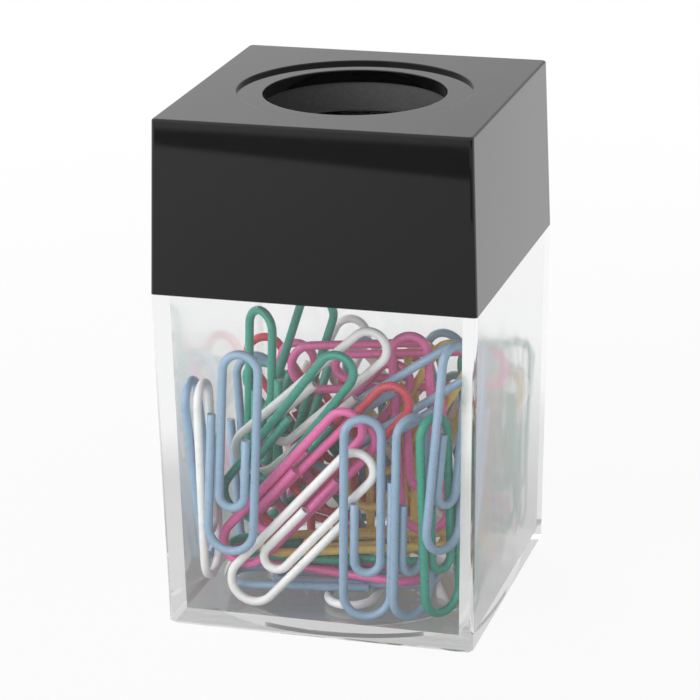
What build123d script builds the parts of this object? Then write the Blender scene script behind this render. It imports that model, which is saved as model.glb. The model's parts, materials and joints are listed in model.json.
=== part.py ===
# Magnetic paper clip holder: a clear square box, a black lid whose round mouth has a ring magnet under it,
# and the coated wire clips that the box holds. Millimetres, +Z up, origin at the middle of the base,
# front face towards -Y.
from build123d import *

import math
import os

import numpy as np

# Box
body_width = 42.0            # outside, at the seam between box and lid
base_width = 40.4            # outside, at the base
box_height = 45.0            # base to the shoulder that the lid sits on
box_wall = 2.1
box_floor = 2.0
corner_radius = 0.5          # upright corners of box and lid
base_edge_bevel = 0.45
base_recess_diameter = 36.0  # shallow round recess under the base
base_recess_depth = 0.6
lip_height = 8.0             # stepped lip that goes up inside the lid
lip_clearance = 0.1          # lip to lid, each side

# Lid
lid_height = 22.5
lid_top_width = 40.8
lid_wall = 1.2
lid_plate = 2.1
lid_edge_bevel = 0.3
mouth_diameter = 23.5
mouth_bevel = 0.35
recess_diameter = 30.2       # shallow flat recess round the mouth
recess_depth = 0.45
recess_bevel = 0.2
collar_wall = 1.2            # collar under the plate that the magnet sits in
collar_height = 4.6

# Ring magnet
magnet_outer_diameter = 33.0
magnet_inner_diameter = 24.2
magnet_height = 4.0
magnet_edge = 0.3            # chamfer on its lower rims
magnet_clearance = 0.1       # magnet to collar, each side

# Clips
wire_diameter = 1.15         # steel wire with its coating
clip_length = 28.0
clip_width = 7.2
leg_gap = 0.2                # between neighbouring legs
outer_leg_end = 19.0         # end of the outer leg, from the clip's wide end
inner_leg_end = 16.0         # end of the inner leg, from the clip's wide end
inner_bend_set = 6.0         # inner bend, from the clip's wide end
wire_sides = 6
bend_steps = 4               # straight pieces in each half turn
clip_clearance = 0.04        # least gap between clips, and from clips to the box

# Pile
pile_top = 32.0              # the fill stays below this height
pile_seed = 14
fill_tries = 40
fill_tilt = 22.0             # most that a fill clip is turned out of the front wall's direction, degrees
fill_colours = ["blue", "white", "green", "pink", "red", "yellow"]
fill_count = 16              # clips laid behind the placed ones
flat_heading = 90.0          # a clip that lies flat along the front wall
top_tilt = 10.0              # most that a fill clip on top of the pile is turned from that
front_rows = (-0.72, -0.22)  # where clips lie on top, as shares of half the box's inside
back_rows = (0.5,)           # the same, behind the loose clips
sample_step = 0.4            # spacing of the points that stand for a clip's wire
coarse_stride = 3            # share of those points that a first trial looks at

draft = (body_width - base_width) / 2 / box_height
lid_draft = (body_width - lid_top_width) / 2 / lid_height
lid_top = box_height + lid_height
lid_inner_width = body_width - 2 * lid_wall
cavity_width = body_width - 2 * box_wall
cavity_base_width = cavity_width - 2 * draft * (box_height - box_floor)
plate_underside = lid_top - lid_plate
bore_diameter = magnet_outer_diameter + 2 * magnet_clearance
# A regular polygon with the area of the round wire
wire_corner = wire_diameter / 2 * math.sqrt(2 * math.pi / (wire_sides * math.sin(2 * math.pi / wire_sides)))
sample_slack = sample_step**2 / (4 * wire_diameter)
contact = 2 * wire_corner + clip_clearance + sample_slack
wall_contact = wire_corner + clip_clearance

os.makedirs("parts", exist_ok=True)


def export(piece, name):
    """Label a finished piece and write it."""
    piece.part.label = name
    export_step(piece.part, f"parts/{name}.step")


# Clear box: drafted walls, a stepped lip and a shallow round recess under the base
with BuildPart() as clear_box:
    foot_width = base_width - 2 * base_edge_bevel
    for height, width in ((0, foot_width), (base_edge_bevel, base_width), (box_height, body_width)):
        with BuildSketch(Plane.XY.offset(height)):
            RectangleRounded(width, width, corner_radius)
    loft(ruled=True)
    lip_width = lid_inner_width - 2 * lip_clearance
    lip_top_width = lip_width - 2 * lid_draft * lip_height
    with BuildSketch(Plane.XY.offset(box_height)):
        Rectangle(lip_width, lip_width)
    with BuildSketch(Plane.XY.offset(box_height + lip_height)):
        Rectangle(lip_top_width, lip_top_width)
    loft()
    with BuildSketch(Plane.XY.offset(box_floor)):
        Rectangle(cavity_base_width, cavity_base_width)
    with BuildSketch(Plane.XY.offset(box_height)):
        Rectangle(cavity_width, cavity_width)
    loft(mode=Mode.SUBTRACT)
    with BuildSketch(Plane.XY.offset(box_height)):
        Rectangle(cavity_width, cavity_width)
    extrude(amount=lip_height, mode=Mode.SUBTRACT)
    with BuildSketch(Plane.XY):
        Circle(base_recess_diameter / 2)
    extrude(amount=base_recess_depth, mode=Mode.SUBTRACT)
export(clear_box, "clear_box")

# Lid: drafted skirt, top plate with the mouth in its recess, and the magnet's collar under the plate
with BuildPart() as lid:
    brim = lid_top - lid_edge_bevel
    rim_width = lid_top_width - 2 * lid_edge_bevel
    for height, width in ((box_height, body_width), (brim, lid_top_width), (lid_top, rim_width)):
        with BuildSketch(Plane.XY.offset(height)):
            RectangleRounded(width, width, corner_radius)
    loft(ruled=True)
    plate_inner_width = lid_inner_width - 2 * lid_draft * (lid_height - lid_plate)
    with BuildSketch(Plane.XY.offset(box_height)):
        Rectangle(lid_inner_width, lid_inner_width)
    with BuildSketch(Plane.XY.offset(plate_underside)):
        Rectangle(plate_inner_width, plate_inner_width)
    loft(mode=Mode.SUBTRACT)
    with BuildSketch(Plane.XY.offset(plate_underside)):
        Circle(bore_diameter / 2 + collar_wall)
        Circle(bore_diameter / 2, mode=Mode.SUBTRACT)
    extrude(amount=-collar_height)
    with Locations((0, 0, lid_top)):
        CounterBoreHole(mouth_diameter / 2, recess_diameter / 2, recess_depth, lid_plate)
    circles = lid.edges().filter_by(GeomType.CIRCLE)
    rims = circles.filter_by(lambda edge: edge.radius > 2 * corner_radius).group_by(Axis.Z)
    mouth_rim = rims[-2].sort_by(SortBy.RADIUS)[0]
    recess_rim = rims[-1].sort_by(SortBy.RADIUS)[-1]
    chamfer(mouth_rim, mouth_bevel)
    chamfer(recess_rim, recess_bevel)
export(lid, "lid")

# Ring magnet, seated against the plate inside the collar
with BuildPart() as magnet_ring:
    with BuildSketch(Plane.XY.offset(plate_underside)):
        Circle(magnet_outer_diameter / 2)
        Circle(magnet_inner_diameter / 2, mode=Mode.SUBTRACT)
    extrude(amount=-magnet_height)
    chamfer(magnet_ring.faces().sort_by(Axis.Z)[0].edges(), magnet_edge)
export(magnet_ring, "magnet_ring")


# Clip form
def half_turn(centre_x, centre_y, radius, start):
    """Corners of a half turn of wire, clockwise from the start angle in degrees."""
    turns = [math.radians(start - 180 * step / bend_steps) for step in range(bend_steps + 1)]
    return [(centre_x + radius * math.cos(turn), centre_y + radius * math.sin(turn)) for turn in turns]


def clip_corners():
    """Centreline of the wire about the clip's middle: X across it, Y along it, wide end at -Y."""
    pitch = wire_diameter + leg_gap
    wide_radius = (clip_width - wire_diameter) / 2
    narrow_radius = wide_radius - pitch / 2
    inner_radius = narrow_radius - pitch / 2
    low = -clip_length / 2
    narrow_x = narrow_radius - wide_radius
    inner_x = narrow_x + pitch / 2
    wide_bend = half_turn(0, low + wire_diameter / 2 + wide_radius, wide_radius, 0)
    narrow_bend = half_turn(narrow_x, -low - wire_diameter / 2 - narrow_radius, narrow_radius, 180)
    inner_bend = half_turn(inner_x, low + inner_bend_set + wire_diameter / 2 + inner_radius, inner_radius, 0)
    outer_end = (wide_radius, low + outer_leg_end)
    inner_end = (inner_x - inner_radius, low + inner_leg_end)
    return [outer_end] + wide_bend + narrow_bend + inner_bend + [inner_end]


def wire_samples(corners):
    """Evenly spaced points along the clip's centreline."""
    points = []
    for (x0, y0), (x1, y1) in zip(corners, corners[1:]):
        count = max(1, math.ceil(math.hypot(x1 - x0, y1 - y0) / sample_step))
        points += [(x0 + (x1 - x0) * i / count, y0 + (y1 - y0) * i / count, 0) for i in range(count)]
    return np.array(points + [(*corners[-1], 0)])


with BuildPart() as gem_clip:
    with BuildLine() as wire:
        Polyline(*clip_corners())
    with BuildSketch(Plane(origin=wire.line @ 0, z_dir=wire.line % 0)):
        RegularPolygon(wire_corner, wire_sides)
    sweep(path=wire.line, transition=Transition.RIGHT)

samples = wire_samples(clip_corners())


# Pile of clips
def attitude(turn=0, lean=0, tip=0, heading=0):
    """Rotation of a clip that first stands upright, parallel to the front wall, with its wide end down.

    turn is about its own length, lean is towards +X, tip is backwards and heading is about the vertical.
    """
    stood = Rotation(90, 0, 0) * Rotation(0, turn, 0)
    return Rotation(0, 0, heading) * Rotation(-tip, 0, 0) * Rotation(0, lean, 0) * stood


def rotated_samples(rotation):
    """The points of a clip's wire, turned about the clip's middle."""
    plane = Plane(rotation)
    return samples @ np.array([tuple(plane.x_dir), tuple(plane.y_dir), tuple(plane.z_dir)])


def cavity_half(height):
    """Half the width of the box's inside at a height."""
    return cavity_base_width / 2 + draft * (np.minimum(height, box_height) - box_floor)


def between_walls(points, axis, place):
    """The place nearest to the one asked for that keeps the points clear of two walls."""
    room = cavity_half(points[:, 2]) - wall_contact
    return min(max(place, (-room - points[:, axis]).max()), (room - points[:, axis]).min())


def rest_distance(points, others, axis, stride=1):
    """How far along an axis the points lie when, moving back along it, they meet the others."""
    points = points[::stride]
    others = others[::stride]
    across = [index for index in range(3) if index != axis]
    low = points[:, across].min(axis=0) - contact
    high = points[:, across].max(axis=0) + contact
    near = others[((others[:, across] > low) & (others[:, across] < high)).all(axis=1)]
    apart = ((points[:, None, across] - near[None, :, across]) ** 2).sum(axis=2)
    reach = near[None, :, axis] - points[:, None, axis] + np.sqrt(np.maximum(contact**2 - apart, 0))
    return np.where(apart < contact**2, reach, -math.inf).max(initial=-math.inf)


class Pile:
    """Clips at rest in the box, and the points that later clips have to clear."""

    def __init__(self):
        self.points = np.empty((0, 3))
        self.clips = []

    def keep(self, colour, rotation, place, name=None):
        """Add a clip where it lies, under a name of its own or the next one for its colour."""
        number = 1 + sum(taken.startswith(f"clip_{colour}") for taken, _ in self.clips)
        self.points = np.vstack([self.points, rotated_samples(rotation) + place])
        self.clips.append((name or f"clip_{colour}_{number:02d}", Location(place) * rotation))

    def depth(self, points, stride=1):
        """How far back points lie against the front wall, or against the clips in front of them."""
        front_wall = between_walls(points, 1, -body_width)
        return max(front_wall, rest_distance(points, self.points, 1, stride))

    def press_forward(self, colour, x, z, **turns):
        """Lay a clip against the front wall, or against the clips in front of it."""
        rotation = attitude(**turns)
        shape = rotated_samples(rotation)
        z = max(z, box_floor + wall_contact - shape[:, 2].min())
        x = between_walls(shape + (0, 0, z), 0, x)
        self.keep_or_top(colour, rotation, x, z)

    def keep_or_top(self, colour, rotation, x, z, heading=flat_heading, top_rows=front_rows):
        """Add a clip as far forward as it goes, or flat on top where the rows leave it no room."""
        shape = rotated_samples(rotation) + (x, 0, z)
        y = self.depth(shape)
        if y == between_walls(shape, 1, y):
            self.keep(colour, rotation, (x, y, z))
        else:
            rotation = attitude(tip=90, heading=heading)
            places = [self.resting_place(rotation, x, row * cavity_base_width / 2) for row in top_rows]
            self.keep(colour, rotation, min(places, key=lambda place: place[2]))

    def resting_place(self, rotation, x, y):
        """Where a clip let down near x and y, between the walls, meets the floor or other clips."""
        shape = rotated_samples(rotation)
        floor = box_floor + wall_contact - shape[:, 2].min()
        for height in (floor, box_height):
            x = between_walls(shape + (0, 0, height), 0, x)
            y = between_walls(shape + (0, 0, height), 1, y)
        return x, y, max(floor, rest_distance(shape + (x, y, 0), self.points, 2))

    def drop(self, colour, x, y, name=None, **turns):
        """Let a clip down on the floor or on the clips below it."""
        rotation = attitude(**turns)
        self.keep(colour, rotation, self.resting_place(rotation, x, y), name)

    def stand_loose(self, colour, x):
        """Stand a clip behind the rows but under the mouth, and keep its way straight up free."""
        shape = rotated_samples(attitude())
        mouth_room = mouth_diameter / 2 - wall_contact
        mouth_limit = math.sqrt(mouth_room**2 - abs(shape[:, 0] + x).max() ** 2)
        way = np.vstack([shape + (0, 0, lift) for lift in np.arange(0, pile_top, contact)])
        y = self.depth(way + (x, 0, box_floor + clip_length)) + clip_clearance
        self.drop(colour, x, min(y, mouth_limit), name=f"loose_clip_{colour}")
        _, location = self.clips[-1]
        self.points = np.vstack([self.points, way + tuple(location.position)])

    def fill(self, colour, draw):
        """Lay a clip as far forward as it goes, in the best of several random ways."""
        best = None
        for _ in range(fill_tries):
            turn = draw.choice((0, 180)) + draw.uniform(-fill_tilt, fill_tilt)
            tip, heading = draw.uniform(-fill_tilt, fill_tilt, 2)
            rotation = attitude(turn, draw.uniform(0, 360), tip, heading)
            shape = rotated_samples(rotation)
            lowest = box_floor + wall_contact - shape[:, 2].min()
            highest = pile_top - wire_corner - shape[:, 2].max()
            z = draw.uniform(lowest, highest)
            x = between_walls(shape + (0, 0, z), 0, draw.uniform(-cavity_width / 2, cavity_width / 2))
            y = self.depth(shape + (x, 0, z), coarse_stride)
            if best is None or y < best[1][1]:
                best = (rotation, (x, y, z))
        rotation, (x, _, z) = best
        heading = flat_heading + draw.uniform(-top_tilt, top_tilt)
        self.keep_or_top(colour, rotation, x, z, heading, front_rows + back_rows)


pile = Pile()

# Clips against the front wall, then those on the floor near it and the rows behind them, front to back
pile.press_forward("blue", x=-11.5, z=23.7, lean=3, turn=180)
pile.press_forward("blue", x=17.0, z=25.5, lean=8, heading=60)
pile.press_forward("green", x=14.6, z=16.2, lean=-2, heading=58)
pile.press_forward("blue", x=11.4, z=16.0, lean=2, heading=54)
pile.press_forward("blue", x=5.9, z=16.0, lean=1, heading=15)
pile.press_forward("white", x=-2.8, z=13.4, lean=42)
pile.press_forward("blue", x=-18.0, z=19.4, lean=-14, heading=90)
pile.press_forward("white", x=-16.1, z=18.6, lean=-3, heading=90)
pile.drop("white", x=2.0, y=-0.5, tip=90)
pile.drop("blue", x=-1.1, y=-8.6, tip=90, heading=-80)
pile.press_forward("pink", x=-4.4, z=18.2, lean=41)
pile.press_forward("pink", x=-4.4, z=17.5, lean=43, turn=180)
pile.drop("pink", x=-2.5, y=-6.6, tip=90, heading=-97, turn=180)
pile.drop("green", x=-2.5, y=-6.2, tip=90, heading=-86)
pile.drop("yellow", x=2.0, y=-4.8, tip=90, heading=-70, turn=180)
pile.press_forward("green", x=-6.2, z=23.6, lean=37)
pile.press_forward("red", x=-1.0, z=21.0, lean=42, turn=180)
pile.press_forward("white", x=-4.0, z=27.4, lean=47)
pile.press_forward("green", x=-11.7, z=25.0, lean=3, heading=-34)
pile.press_forward("blue", x=6.0, z=27.0, lean=55)
pile.press_forward("pink", x=9.5, z=23.2, lean=-3, heading=8)
pile.press_forward("pink", x=-1.0, z=21.0, lean=40)
pile.press_forward("yellow", x=7.0, z=23.5, lean=30, turn=180)
pile.press_forward("pink", x=9.0, z=31.0, lean=84, turn=180)
pile.press_forward("green", x=-8.5, z=26.2, lean=18)
pile.press_forward("green", x=16.0, z=20.5, lean=-4, heading=60)

# Two loose clips under the mouth, side by side
loose_x = (clip_width + leg_gap) / 2 + wire_corner
pile.stand_loose("red", -loose_x)
pile.stand_loose("yellow", loose_x)

draw = np.random.default_rng(pile_seed)
for number in range(fill_count):
    pile.fill(fill_colours[number % len(fill_colours)], draw)

for name, location in pile.clips:
    with BuildPart() as clip:
        add(gem_clip.part.moved(location))
    export(clip, name)
print(len(pile.clips), "clips")
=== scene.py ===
import json
import math

import bpy
import numpy as np
from mathutils import Matrix, Quaternion, Vector


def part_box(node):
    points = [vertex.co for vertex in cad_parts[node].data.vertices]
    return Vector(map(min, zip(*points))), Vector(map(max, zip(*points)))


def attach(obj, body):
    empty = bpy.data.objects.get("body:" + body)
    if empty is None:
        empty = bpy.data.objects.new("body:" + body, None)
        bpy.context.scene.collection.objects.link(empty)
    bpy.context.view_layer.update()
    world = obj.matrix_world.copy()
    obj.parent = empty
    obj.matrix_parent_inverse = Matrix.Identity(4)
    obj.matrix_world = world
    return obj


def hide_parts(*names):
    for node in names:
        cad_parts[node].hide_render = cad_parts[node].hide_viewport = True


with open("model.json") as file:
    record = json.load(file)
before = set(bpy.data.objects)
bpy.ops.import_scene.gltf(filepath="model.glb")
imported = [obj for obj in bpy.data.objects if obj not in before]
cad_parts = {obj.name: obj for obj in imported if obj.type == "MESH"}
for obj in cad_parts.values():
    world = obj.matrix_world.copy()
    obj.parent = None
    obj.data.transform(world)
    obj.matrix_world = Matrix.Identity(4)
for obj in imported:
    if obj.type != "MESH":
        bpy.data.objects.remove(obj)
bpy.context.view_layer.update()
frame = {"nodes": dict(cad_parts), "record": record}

MM = 0.001

# Camera, fitted to the photograph, with angles in degrees
CAMERA_AZIMUTH = 16.018          # towards +X from the front
CAMERA_ELEVATION = 18.736
CAMERA_DISTANCE = 414.608 * MM
CAMERA_TARGET = Vector((-1.139, 0, 32.306)) * MM
CAMERA_ROLL = -0.795
CAMERA_LENS = 163.175            # in the sensor's units
SENSOR_WIDTH = 36.0
NEAREST_SEEN = 10 * MM

# Clip wire, about the clip's middle: u across it, v along it, wide end towards -v
WIRE_RADIUS = 1.15 * MM / 2
CORE_RADIUS = 0.78 * WIRE_RADIUS
CLIP_LENGTH = 28.0 * MM
CLIP_WIDTH = 7.2 * MM
LEG_PITCH = 1.35 * MM
OUTER_LEG_END = 19.0 * MM        # these three are from the wide end
INNER_LEG_END = 16.0 * MM
INNER_BEND_SET = 6.0 * MM
BEND_STEPS = 16                  # pieces in each half turn
RING_POINTS = 14                 # points round the wire
END_BEVEL = 0.08 * MM
CORE_INSET = 0.05 * MM

# Lid, in the CAD lid's sizes but with smooth rounds and finer edges
LID_WALL = 1.2 * MM
LID_PLATE = 2.1 * MM
LID_TOP_WIDTH = 40.8 * MM
LID_CORNER = 0.5 * MM
LID_INNER_CORNER = 0.2 * MM
LID_EDGE = 0.3 * MM
RECESS_RADIUS = 30.2 * MM / 2
RECESS_DEPTH = 0.45 * MM
RECESS_EDGE = 0.12 * MM
MOUTH_RADIUS = 23.5 * MM / 2
MOUTH_EDGE = 0.12 * MM
COLLAR_RADIUS = 35.6 * MM / 2
COLLAR_BORE = 33.2 * MM / 2
COLLAR_HEIGHT = 4.6 * MM
LID_SIDES = 4
SIDE_BEARING = math.radians(44.3)  # from the middle of a side to its end
SIDE_STEPS = 32                    # pieces along each side
CORNER_STEPS = 4                   # pieces round each corner
EDGE_STEPS = 4                     # pieces in each rounded edge
SHARP_ANGLE = math.radians(5)      # rounds stay smooth, and flat faces stay flat beside small edges
QUARTER_TURN = math.pi / 2

# Colours are linear
CLIP_COLOURS = {
    "blue": (0.290, 0.438, 0.595),
    "green": (0.024, 0.340, 0.238),
    "white": (0.930, 0.930, 0.915),
    "pink": (0.820, 0.140, 0.400),
    "red": (0.700, 0.055, 0.090),
    "yellow": (0.850, 0.600, 0.130),
}
STEEL = (0.55, 0.55, 0.56)
LID_BLACK = (0.0125, 0.0125, 0.0129)
FERRITE = (0.098, 0.098, 0.101)
CLEAR = (0.985, 0.990, 0.992)
WHITE = (1.0, 1.0, 1.0)

# Finishes
VINYL_IOR = 1.5
POLYSTYRENE_IOR = 1.59
FERRITE_SPECULAR = 0.15
BUMP_HEIGHT = 0.02 * MM          # at full strength
SIDE_HAZE = 0.10                 # roughness of the side walls' moulded faces
GUIDED_DEPTH = 1.5               # light that has been turned back more often inside a wall leaves it

# Floor: what the camera, gloss and the clear box show of it, with a painted shadow under the object
# through the box and painted reflections for gloss
FLOOR_SIZE = 4.0
FLOOR_ROUGHNESS = 0.9
FLOOR_WHITE = 0.92               # share of plain white near the object, where its shadow lies
SHADOW_FROM = 60 * MM            # the shadow fades out between these distances from the middle
SHADOW_TO = 260 * MM
THROUGH_WHITE = 0.85             # share of plain brightness in the floor that shows through the box
PAINTED_SHADOW_DIM = 0.12               # painted shadow: that brightness under the object, darker as if in its shadow
PAINTED_SHADOW_FROM = 20 * MM           # the painted shadow fades to white between these distances
PAINTED_SHADOW_TO = 112 * MM
GUIDED_WHITE = 0.68              # least brightness at the end of a turn inside the walls
FRONT_LEFT = 0.55                # painted reflection: what gloss shows of the floor in front, on the left and on the right
FRONT_RIGHT = 0.40
LEFT_TO = -100 * MM              # where the left ends, and where the right starts
RIGHT_FROM = -30 * MM
FRONT_FROM = -40 * MM            # where the painted reflection of the floor starts to dim, and where it is dim
FRONT_TO = -110 * MM
PAINTED_BAND_DIM = 0.12                   # painted dark band in what gloss shows of the floor, standing for a table's front edge, as a share of the dim floor
PAINTED_BAND_FAR = -324 * MM
PAINTED_BAND_NEAR = -278 * MM             # at the middle
PAINTED_BAND_SLANT = 0.20                 # of its near edge, so that it narrows to the left
PAINTED_BAND_SOFT = 5 * MM

# Studio
WORLD_LIGHT = 0.30
GLOSS_LEFT = 0.88                # what gloss shows of the studio, on the left and on the right
GLOSS_RIGHT = 0.66
GLOSS_LEFT_TO = -0.38            # X of the directions where the left ends and the right starts
GLOSS_RIGHT_FROM = -0.14
LAMP_SIZE = 400 * MM
LAMPS = {                        # place, and power in watts
    "key": (Vector((-380, -380, 260)) * MM, 1.75),
    "fill": (Vector((-40, -520, 170)) * MM, 0.85),
    "back": (Vector((-420, 330, 420)) * MM, 1.2),
}


class Shading:
    """The nodes of a material or of the world."""

    def __init__(self, owner):
        owner.use_nodes = True
        self.nodes = owner.node_tree.nodes
        self.links = owner.node_tree.links

    def link(self, value, socket):
        """Feeds a value into a node's socket."""
        self.links.new(value, socket)

    def source(self, kind):
        """The outputs of a new node that needs no inputs."""
        return self.nodes.new(kind).outputs

    def noise(self, vector, scale, detail, roughness=0.5):
        """A noise over a vector, mostly from 0.3 to 0.7."""
        texture = self.nodes.new("ShaderNodeTexNoise")
        texture.inputs["Scale"].default_value = scale
        texture.inputs["Detail"].default_value = detail
        texture.inputs["Roughness"].default_value = roughness
        self.link(vector, texture.inputs["Vector"])
        return texture.outputs["Fac"]

    def ramp(self, factor, low, high, start=0.3, end=0.7):
        """A value that goes from low to high as the factor goes from start to end."""
        span = self.nodes.new("ShaderNodeMapRange")
        span.inputs["From Min"].default_value = start
        span.inputs["From Max"].default_value = end
        span.inputs["To Min"].default_value = low
        span.inputs["To Max"].default_value = high
        self.link(factor, span.inputs["Value"])
        return span.outputs["Result"]

    def tint(self, factor, colour, darkest, lightest):
        """A colour that goes from its darkest share to its lightest by a factor."""
        mix = self.nodes.new("ShaderNodeMix")
        mix.data_type = "RGBA"
        for socket, share in (("A", darkest), ("B", lightest)):
            shade = [min(1.0, part * share) for part in colour]
            mix.inputs[socket].default_value = (*shade, 1)
        self.link(factor, mix.inputs["Factor"])
        return mix.outputs["Result"]

    def bump(self, height, strength):
        """A normal from a height."""
        node = self.nodes.new("ShaderNodeBump")
        node.inputs["Distance"].default_value = BUMP_HEIGHT
        node.inputs["Strength"].default_value = strength
        self.link(height, node.inputs["Height"])
        return node.outputs["Normal"]

    def calculate(self, operation, first, second=None):
        """The result of an operation on one or two values, of which the second may be a number."""
        node = self.nodes.new("ShaderNodeMath")
        node.operation = operation
        self.link(first, node.inputs[0])
        if isinstance(second, (int, float)):
            node.inputs[1].default_value = second
        elif second is not None:
            self.link(second, node.inputs[1])
        return node.outputs["Value"]

    def largest(self, values):
        """The largest of several values."""
        result = values[0]
        for value in values[1:]:
            result = self.calculate("MAXIMUM", result, value)
        return result

    def split(self, vector):
        """The X, Y and Z of a vector."""
        parts = self.nodes.new("ShaderNodeSeparateXYZ")
        self.link(vector, parts.inputs["Vector"])
        return parts.outputs

    def length(self, vector):
        """The length of a vector."""
        node = self.nodes.new("ShaderNodeVectorMath")
        node.operation = "LENGTH"
        self.link(vector, node.inputs[0])
        return node.outputs["Value"]

    def mix_in(self, shader, share):
        """Shows a share of another shader over the Principled one."""
        mix = self.nodes.new("ShaderNodeMixShader")
        self.link(share, mix.inputs["Fac"])
        self.link(self.nodes["Principled BSDF"].outputs["BSDF"], mix.inputs[1])
        self.link(shader, mix.inputs[2])
        self.link(mix.outputs["Shader"], self.nodes["Material Output"].inputs["Surface"])


def new_material(name):
    """A new material, its nodes, its Principled shader's inputs and the place in the piece's space."""
    material = bpy.data.materials.new(name)
    tree = Shading(material)
    place = tree.source("ShaderNodeTexCoord")["Object"]
    return material, tree, tree.nodes["Principled BSDF"].inputs, place


def coated_wire(colour):
    """Smooth vinyl coating: a slightly uneven colour, soft gloss and a faint orange peel."""
    material, tree, inputs, place = new_material(f"coated_wire_{colour}")
    patches = tree.ramp(tree.noise(place, scale=420, detail=3), low=0, high=1)
    coat = tree.tint(patches, CLIP_COLOURS[colour], darkest=0.94, lightest=1.03)
    scuffs = tree.noise(place, scale=1500, detail=4, roughness=0.65)
    peel = tree.noise(place, scale=2600, detail=2)
    tree.link(coat, inputs["Base Color"])
    tree.link(tree.ramp(scuffs, low=0.22, high=0.38), inputs["Roughness"])
    tree.link(tree.bump(peel, strength=0.5), inputs["Normal"])
    inputs["IOR"].default_value = VINYL_IOR
    return material


def steel_core():
    """Sheared end of the steel wire."""
    material, tree, inputs, place = new_material("steel_core")
    streaks = tree.noise(place, scale=6000, detail=3, roughness=0.7)
    tree.link(tree.tint(streaks, STEEL, darkest=0.6, lightest=1.0), inputs["Base Color"])
    tree.link(tree.ramp(streaks, low=0.3, high=0.55), inputs["Roughness"])
    inputs["Metallic"].default_value = 1.0
    return material


def black_plastic():
    """Polished black polystyrene, with faint moulding unevenness and fine rubbing marks."""
    material, tree, inputs, place = new_material("black_polystyrene")
    haze = tree.noise(place, scale=60, detail=4, roughness=0.6)
    rubs = tree.noise(place, scale=700, detail=5, roughness=0.7)
    waves = tree.noise(place, scale=90, detail=2)
    tree.link(tree.tint(haze, LID_BLACK, darkest=0.8, lightest=1.25), inputs["Base Color"])
    tree.link(tree.ramp(rubs, low=0.01, high=0.035), inputs["Roughness"])
    tree.link(tree.bump(waves, strength=0.08), inputs["Normal"])
    inputs["IOR"].default_value = POLYSTYRENE_IOR
    return material


def ferrite():
    """Ground sintered ferrite: dark grey with a fine grain."""
    material, tree, inputs, place = new_material("ferrite")
    grain = tree.noise(place, scale=2200, detail=5, roughness=0.7)
    tree.link(tree.tint(grain, FERRITE, darkest=0.7, lightest=1.4), inputs["Base Color"])
    tree.link(tree.ramp(grain, low=0.28, high=0.45), inputs["Roughness"])
    tree.link(tree.bump(grain, strength=0.4), inputs["Normal"])
    inputs["Specular IOR Level"].default_value = FERRITE_SPECULAR
    return material


def clear_plastic():
    """Clear polystyrene with slightly wavy moulded faces. It lets lamps through to the clips."""
    material, tree, inputs, place = new_material("clear_polystyrene")
    inputs["Base Color"].default_value = (*CLEAR, 1)
    inputs["Transmission Weight"].default_value = 1.0
    inputs["IOR"].default_value = POLYSTYRENE_IOR
    marks = tree.noise(place, scale=500, detail=5, roughness=0.7)
    rubs = tree.ramp(marks, low=0.0, high=0.03, start=0.45, end=0.75)
    facing = tree.split(tree.source("ShaderNodeTexCoord")["Normal"])
    sideways = tree.calculate("ABSOLUTE", facing["X"])
    haze = tree.ramp(sideways, low=0.0, high=SIDE_HAZE, start=0.8, end=0.95)
    waves = tree.noise(place, scale=70, detail=2)
    tree.link(tree.calculate("ADD", rubs, haze), inputs["Roughness"])
    tree.link(tree.bump(waves, strength=0.3), inputs["Normal"])
    path = tree.source("ShaderNodeLightPath")
    guided = tree.calculate("GREATER_THAN", path["Glossy Depth"], GUIDED_DEPTH)
    lamps = tree.calculate("MAXIMUM", path["Is Shadow Ray"], path["Is Diffuse Ray"])
    through = tree.calculate("MAXIMUM", lamps, guided)
    tree.mix_in(tree.source("ShaderNodeBsdfTransparent")["BSDF"], through)
    return material


def add_object(name, data):
    """A new object in the scene."""
    made = bpy.data.objects.new(name, data)
    bpy.context.scene.collection.objects.link(made)
    return made


def faces_between(rings, points, closed=False):
    """Faces between neighbouring rings of points, and from the last to the first where they close."""
    faces = []
    for ring in range(rings if closed else rings - 1):
        start = ring * points
        above = (ring + 1) % rings * points
        for point in range(points):
            after = (point + 1) % points
            faces.append((start + point, start + after, above + after, above + point))
    return faces


def half_turn(centre_u, centre_v, radius, start):
    """Points of a half turn of wire, clockwise from the start angle in radians."""
    turns = [start - math.pi * step / BEND_STEPS for step in range(BEND_STEPS + 1)]
    return [(centre_u + radius * math.cos(turn), centre_v + radius * math.sin(turn)) for turn in turns]


def clip_path():
    """Centreline of the bent wire, from the end of the outer leg to the end of the inner one."""
    low = -CLIP_LENGTH / 2
    wide = CLIP_WIDTH / 2 - WIRE_RADIUS
    narrow = wide - LEG_PITCH / 2
    inner = narrow - LEG_PITCH / 2
    narrow_u = narrow - wide
    inner_u = narrow_u + LEG_PITCH / 2
    path = [(wide, low + OUTER_LEG_END)]
    path += half_turn(0, low + WIRE_RADIUS + wide, wide, 0)
    path += half_turn(narrow_u, -low - WIRE_RADIUS - narrow, narrow, math.pi)
    path += half_turn(inner_u, low + INNER_BEND_SET + WIRE_RADIUS + inner, inner, 0)
    path += [(inner_u - inner, low + INNER_LEG_END)]
    return np.array(path)


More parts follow.
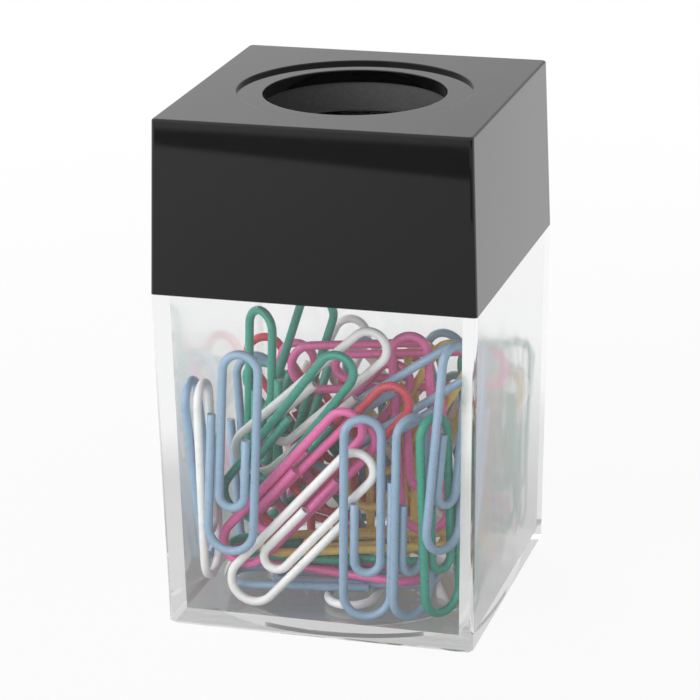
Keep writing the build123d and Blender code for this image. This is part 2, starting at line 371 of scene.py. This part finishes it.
def wire_rings():
    """Middle, direction and radius of each ring of the wire, from one end's core to the other's."""
    path = clip_path()
    steps = np.diff(path, axis=0)
    steps /= np.linalg.norm(steps, axis=1)[:, None]
    along = np.vstack([steps[:1], steps[:-1] + steps[1:], steps[-1:]])
    along /= np.linalg.norm(along, axis=1)[:, None]
    start, first = path[0], along[0]
    end, last = path[-1], along[-1]
    lip = WIRE_RADIUS - END_BEVEL
    rings = [
        (start + first * CORE_INSET, first, CORE_RADIUS),
        (start, first, CORE_RADIUS),
        (start, first, lip),
        (start + first * END_BEVEL, first, WIRE_RADIUS),
    ]
    rings += [(point, direction, WIRE_RADIUS) for point, direction in zip(path[1:-1], along[1:-1])]
    rings += [
        (end - last * END_BEVEL, last, WIRE_RADIUS),
        (end, last, lip),
        (end, last, CORE_RADIUS),
        (end - last * CORE_INSET, last, CORE_RADIUS),
    ]
    return rings


def clip_mesh(name, coating, core):
    """The bent wire as a round tube, with a bevelled coating and a sunk steel core at its cut ends."""
    rings = wire_rings()
    vertices = []
    for middle, direction, radius in rings:
        side = Vector((direction[1], -direction[0], 0))
        for point in range(RING_POINTS):
            turn = 2 * math.pi * point / RING_POINTS
            offset = side * math.cos(turn) + Vector((0, 0, math.sin(turn)))
            vertices.append(Vector((*middle, 0)) + offset * radius)
    faces = faces_between(len(rings), RING_POINTS)
    last_ring = len(vertices) - RING_POINTS
    ends = [tuple(reversed(range(RING_POINTS))), tuple(range(last_ring, len(vertices)))]
    mesh = bpy.data.meshes.new(name)
    mesh.from_pydata(vertices, [], faces + ends)
    mesh.materials.append(coating)
    mesh.materials.append(core)
    mesh.polygons.foreach_set("use_smooth", [True] * len(faces) + [False] * len(ends))
    for face in mesh.polygons[len(faces):]:
        face.material_index = 1
    mesh.validate()
    return mesh


def main_axes(node):
    """Middle and main axes of a CAD node's surface. The two longest axes point to their heavier tails."""
    mesh = node.data
    mesh.calc_loop_triangles()
    facets = [[mesh.vertices[index].co for index in facet.vertices] for facet in mesh.loop_triangles]
    corners = np.array(facets)
    sides = corners[:, 1:] - corners[:, :1]
    weights = np.linalg.norm(np.cross(sides[:, 0], sides[:, 1]), axis=1)
    weights /= weights.sum()
    middle = weights @ corners.mean(axis=1)
    offsets = corners - middle
    sums = offsets.sum(axis=1)
    spread = np.einsum("f,fci,fcj->ij", weights, offsets, offsets)
    spread += np.einsum("f,fi,fj->ij", weights, sums, sums)
    axes = np.linalg.eigh(spread)[1].T[::-1]
    tails = weights @ (offsets.mean(axis=1) @ axes.T) ** 3
    axes[:2] *= np.sign(tails[:2])[:, None]
    axes[2] = np.cross(axes[0], axes[1])
    frame_of_node = Matrix(axes.T.tolist()).to_4x4()
    frame_of_node.translation = middle
    return frame_of_node


def add_clips():
    """A round wire clip in the place of each CAD clip. The upright red loose clip gives the standard."""
    nodes = frame["nodes"]
    low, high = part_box("loose_clip_red")
    upright = Matrix(((1, 0, 0), (0, 0, -1), (0, 1, 0))).to_4x4()
    upright.translation = (low + high) / 2
    standard = main_axes(nodes["loose_clip_red"]).inverted() @ upright
    core = steel_core()
    meshes = {colour: clip_mesh(f"wire_{colour}", coated_wire(colour), core) for colour in CLIP_COLOURS}
    for body, members in frame["record"]["behaviour"]["bodies"].items():
        for name in members:
            if "clip_" not in name:
                continue
            colour = next(colour for colour in CLIP_COLOURS if colour in name)
            piece = add_object(name.replace("clip_", "wire_"), meshes[colour])
            piece.matrix_world = main_axes(nodes[name]) @ standard
            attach(piece, body)
            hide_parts(name)


def lid_ring(reach, height, corner=None):
    """A level ring of points round the lid: a square with rounded corners, or a circle without them."""
    side = np.linspace(-SIDE_BEARING, SIDE_BEARING, SIDE_STEPS + 1)
    share = np.arange(1, CORNER_STEPS) / CORNER_STEPS
    if corner is None:
        bearings = np.concatenate([side, SIDE_BEARING + (QUARTER_TURN - 2 * SIDE_BEARING) * share])
        quarter = reach * np.column_stack([np.cos(bearings), np.sin(bearings)])
    else:
        flat = reach - corner
        turns = QUARTER_TURN * share
        spots = flat * np.tan(side) / math.tan(SIDE_BEARING)
        across = np.concatenate([np.full(len(side), reach), flat + corner * np.cos(turns)])
        along = np.concatenate([spots, flat + corner * np.sin(turns)])
        quarter = np.column_stack([across, along])
    points = []
    for _ in range(LID_SIDES):
        points += [(x, y, height) for x, y in quarter.tolist()]
        quarter = np.column_stack([-quarter[:, 1], quarter[:, 0]])
    return points


def rounded_edge(reach, height, radius, start, corner=None):
    """Rings over a rounded edge of the lid: a quarter turn of its section, from a start angle."""
    rings = []
    for step in range(EDGE_STEPS + 1):
        turn = start + QUARTER_TURN * step / EDGE_STEPS
        rings.append(lid_ring(reach + radius * math.cos(turn), height + radius * math.sin(turn), corner))
    return rings


def lid_rings():
    """Rings of the lid's surface: up the outside, over the top, down the mouth and back inside."""
    low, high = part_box("lid")
    half, base, top = high.x, low.z, high.z
    underside = top - LID_PLATE
    recess_floor = top - RECESS_DEPTH
    collar_foot = underside - COLLAR_HEIGHT
    draft = (half - LID_TOP_WIDTH / 2) / (top - base)
    inner = half - LID_WALL
    rings = [lid_ring(half, base, LID_CORNER)]
    rings += rounded_edge(LID_TOP_WIDTH / 2 - LID_EDGE, top - LID_EDGE, LID_EDGE, 0, LID_CORNER)
    rings += rounded_edge(RECESS_RADIUS + RECESS_EDGE, top - RECESS_EDGE, RECESS_EDGE, QUARTER_TURN)
    rings.append(lid_ring(RECESS_RADIUS, recess_floor))
    rings += rounded_edge(MOUTH_RADIUS + MOUTH_EDGE, recess_floor - MOUTH_EDGE, MOUTH_EDGE, QUARTER_TURN)
    rings.append(lid_ring(MOUTH_RADIUS, underside))
    rings.append(lid_ring(COLLAR_BORE, underside))
    rings.append(lid_ring(COLLAR_BORE, collar_foot))
    rings.append(lid_ring(COLLAR_RADIUS, collar_foot))
    rings.append(lid_ring(COLLAR_RADIUS, underside))
    rings.append(lid_ring(inner - draft * (underside - base), underside, LID_INNER_CORNER))
    rings.append(lid_ring(inner, base, LID_INNER_CORNER))
    return rings


def add_lid():
    """The moulded lid in the place of the CAD lid."""
    rings = lid_rings()
    mesh = bpy.data.meshes.new("lid_shell")
    mesh.from_pydata(sum(rings, []), [], faces_between(len(rings), len(rings[0]), closed=True))
    mesh.materials.append(black_plastic())
    mesh.shade_smooth()
    mesh.set_sharp_from_angle(angle=SHARP_ANGLE)
    mesh.validate()
    shell = add_object("lid_shell", mesh)
    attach(shell, "lid")
    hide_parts("lid")
    return shell


def finish_node(name, material):
    """Gives a CAD node its finish."""
    slots = frame["nodes"][name].data.materials
    slots.clear()
    slots.append(material)


def painted_reflection_brightness(tree, place):
    """Painted reflection: what gloss shows of the floor, dimmer in front, with a painted dark band
    standing for a table's front edge.
    """
    parts = tree.split(place)
    across, along = parts["X"], parts["Y"]
    front = tree.ramp(across, FRONT_LEFT, FRONT_RIGHT, LEFT_TO, RIGHT_FROM)
    dim = tree.calculate("MAXIMUM", front, tree.ramp(along, 0.0, 1.0, FRONT_TO, FRONT_FROM))
    # Painted dark band across the floor's reflection, slanted so that it narrows to the left
    slant = tree.calculate("MULTIPLY", across, PAINTED_BAND_SLANT)
    edge = tree.calculate("SUBTRACT", along, slant)
    before = tree.ramp(edge, 1.0, 0.0, PAINTED_BAND_NEAR - PAINTED_BAND_SOFT, PAINTED_BAND_NEAR)
    beyond = tree.ramp(along, 0.0, 1.0, PAINTED_BAND_FAR, PAINTED_BAND_FAR + PAINTED_BAND_SOFT)
    painted_band = tree.calculate("MULTIPLY", before, beyond)
    return tree.calculate("MULTIPLY", dim, tree.ramp(painted_band, 1.0, PAINTED_BAND_DIM, 0.0, 1.0))


def white_floor():
    """White paper that takes the shadow, under a plain white whose share and brightness suit each ray.
    Through the box it shows a painted shadow under the object, and to gloss a painted reflection.
    """
    material, tree, inputs, place = new_material("white_floor")
    paper = tree.noise(place, scale=300, detail=3)
    tree.link(tree.tint(paper, WHITE, darkest=0.86, lightest=0.9), inputs["Base Color"])
    inputs["Roughness"].default_value = FLOOR_ROUGHNESS
    inputs["Specular IOR Level"].default_value = 0.0
    path = tree.source("ShaderNodeLightPath")
    camera = path["Is Camera Ray"]
    through = tree.calculate("MINIMUM", path["Transmission Depth"], 1.0)
    turned = tree.calculate("SUBTRACT", path["Is Glossy Ray"], path["Is Transmission Ray"])
    mirrored = tree.calculate("SUBTRACT", turned, through)
    guided = tree.calculate("MULTIPLY", turned, through)
    away = tree.length(place)
    # Painted shadow: through the box the floor shows darker under the object
    painted_shadow_through = tree.ramp(away, PAINTED_SHADOW_DIM, 1.0, PAINTED_SHADOW_FROM, PAINTED_SHADOW_TO)
    shadow = tree.ramp(away, FLOOR_WHITE, 1.0, SHADOW_FROM, SHADOW_TO)
    brightness = [
        camera,
        tree.calculate("MULTIPLY", mirrored, painted_reflection_brightness(tree, place)),
        tree.calculate("MULTIPLY", through, painted_shadow_through),
        tree.calculate("MULTIPLY", guided, GUIDED_WHITE),
    ]
    shares = [
        tree.calculate("MULTIPLY", camera, shadow),
        tree.calculate("MULTIPLY", mirrored, FLOOR_WHITE),
        tree.calculate("MULTIPLY", through, THROUGH_WHITE),
    ]
    glow = tree.nodes.new("ShaderNodeEmission")
    tree.link(tree.largest(brightness), glow.inputs["Strength"])
    tree.mix_in(glow.outputs["Emission"], tree.largest(shares))
    return material


def add_floor():
    """A white floor that keeps the object's shadow."""
    half = FLOOR_SIZE / 2
    corners = [(-half, -half, 0), (half, -half, 0), (half, half, 0), (-half, half, 0)]
    mesh = bpy.data.meshes.new("floor")
    mesh.from_pydata(corners, [], [(0, 1, 2, 3)])
    mesh.materials.append(white_floor())
    floor = add_object("floor", mesh)


def add_world():
    """An even pale light all round. It shows as white, and gloss shows it dimmer, most on the right."""
    world = bpy.data.worlds.new("studio")
    bpy.context.scene.world = world
    tree = Shading(world)
    path = tree.source("ShaderNodeLightPath")
    direction = tree.split(tree.source("ShaderNodeTexCoord")["Generated"])
    gloss = tree.ramp(direction["X"], GLOSS_LEFT, GLOSS_RIGHT, GLOSS_LEFT_TO, GLOSS_RIGHT_FROM)
    glossy = tree.calculate("MULTIPLY", path["Is Glossy Ray"], gloss)
    seen = tree.calculate("MAXIMUM", path["Is Camera Ray"], path["Is Transmission Ray"])
    shown = tree.calculate("MAXIMUM", seen, glossy)
    background = tree.nodes["Background"].inputs
    background["Color"].default_value = (*WHITE, 1)
    tree.link(tree.calculate("MAXIMUM", shown, WORLD_LIGHT), background["Strength"])


def add_lamps(mirror):
    """Soft square lamps that look at the object, kept off a piece that would mirror their squares."""
    flagged = bpy.data.collections.new("flagged")
    flagged.objects.link(mirror)
    flagged.collection_objects[0].light_linking.link_state = "EXCLUDE"
    for name, (place, power) in LAMPS.items():
        data = bpy.data.lights.new(name, "AREA")
        data.size = LAMP_SIZE
        data.energy = power
        lamp = add_object(name, data)
        lamp.location = place
        lamp.rotation_mode = "QUATERNION"
        lamp.rotation_quaternion = (CAMERA_TARGET - lamp.location).to_track_quat("-Z", "Y")
        lamp.light_linking.receiver_collection = flagged


def add_camera():
    """The photograph's camera."""
    data = bpy.data.cameras.new("photo_camera")
    data.sensor_width = SENSOR_WIDTH
    data.lens = CAMERA_LENS
    data.clip_start = NEAREST_SEEN
    camera = add_object("photo_camera", data)
    azimuth, elevation = math.radians(CAMERA_AZIMUTH), math.radians(CAMERA_ELEVATION)
    flat = math.cos(elevation)
    back = Vector((math.sin(azimuth) * flat, -math.cos(azimuth) * flat, math.sin(elevation)))
    camera.location = CAMERA_TARGET + back * CAMERA_DISTANCE
    camera.rotation_mode = "QUATERNION"
    roll = Quaternion((0, 0, 1), math.radians(CAMERA_ROLL))
    camera.rotation_quaternion = (-back).to_track_quat("-Z", "Y") @ roll
    bpy.context.scene.camera = camera


add_clips()
lid_shell = add_lid()
finish_node("clear_box", clear_plastic())
finish_node("magnet_ring", ferrite())
add_floor()
add_world()
add_lamps(lid_shell)
add_camera()
bpy.context.scene.view_settings.view_transform = "Standard"
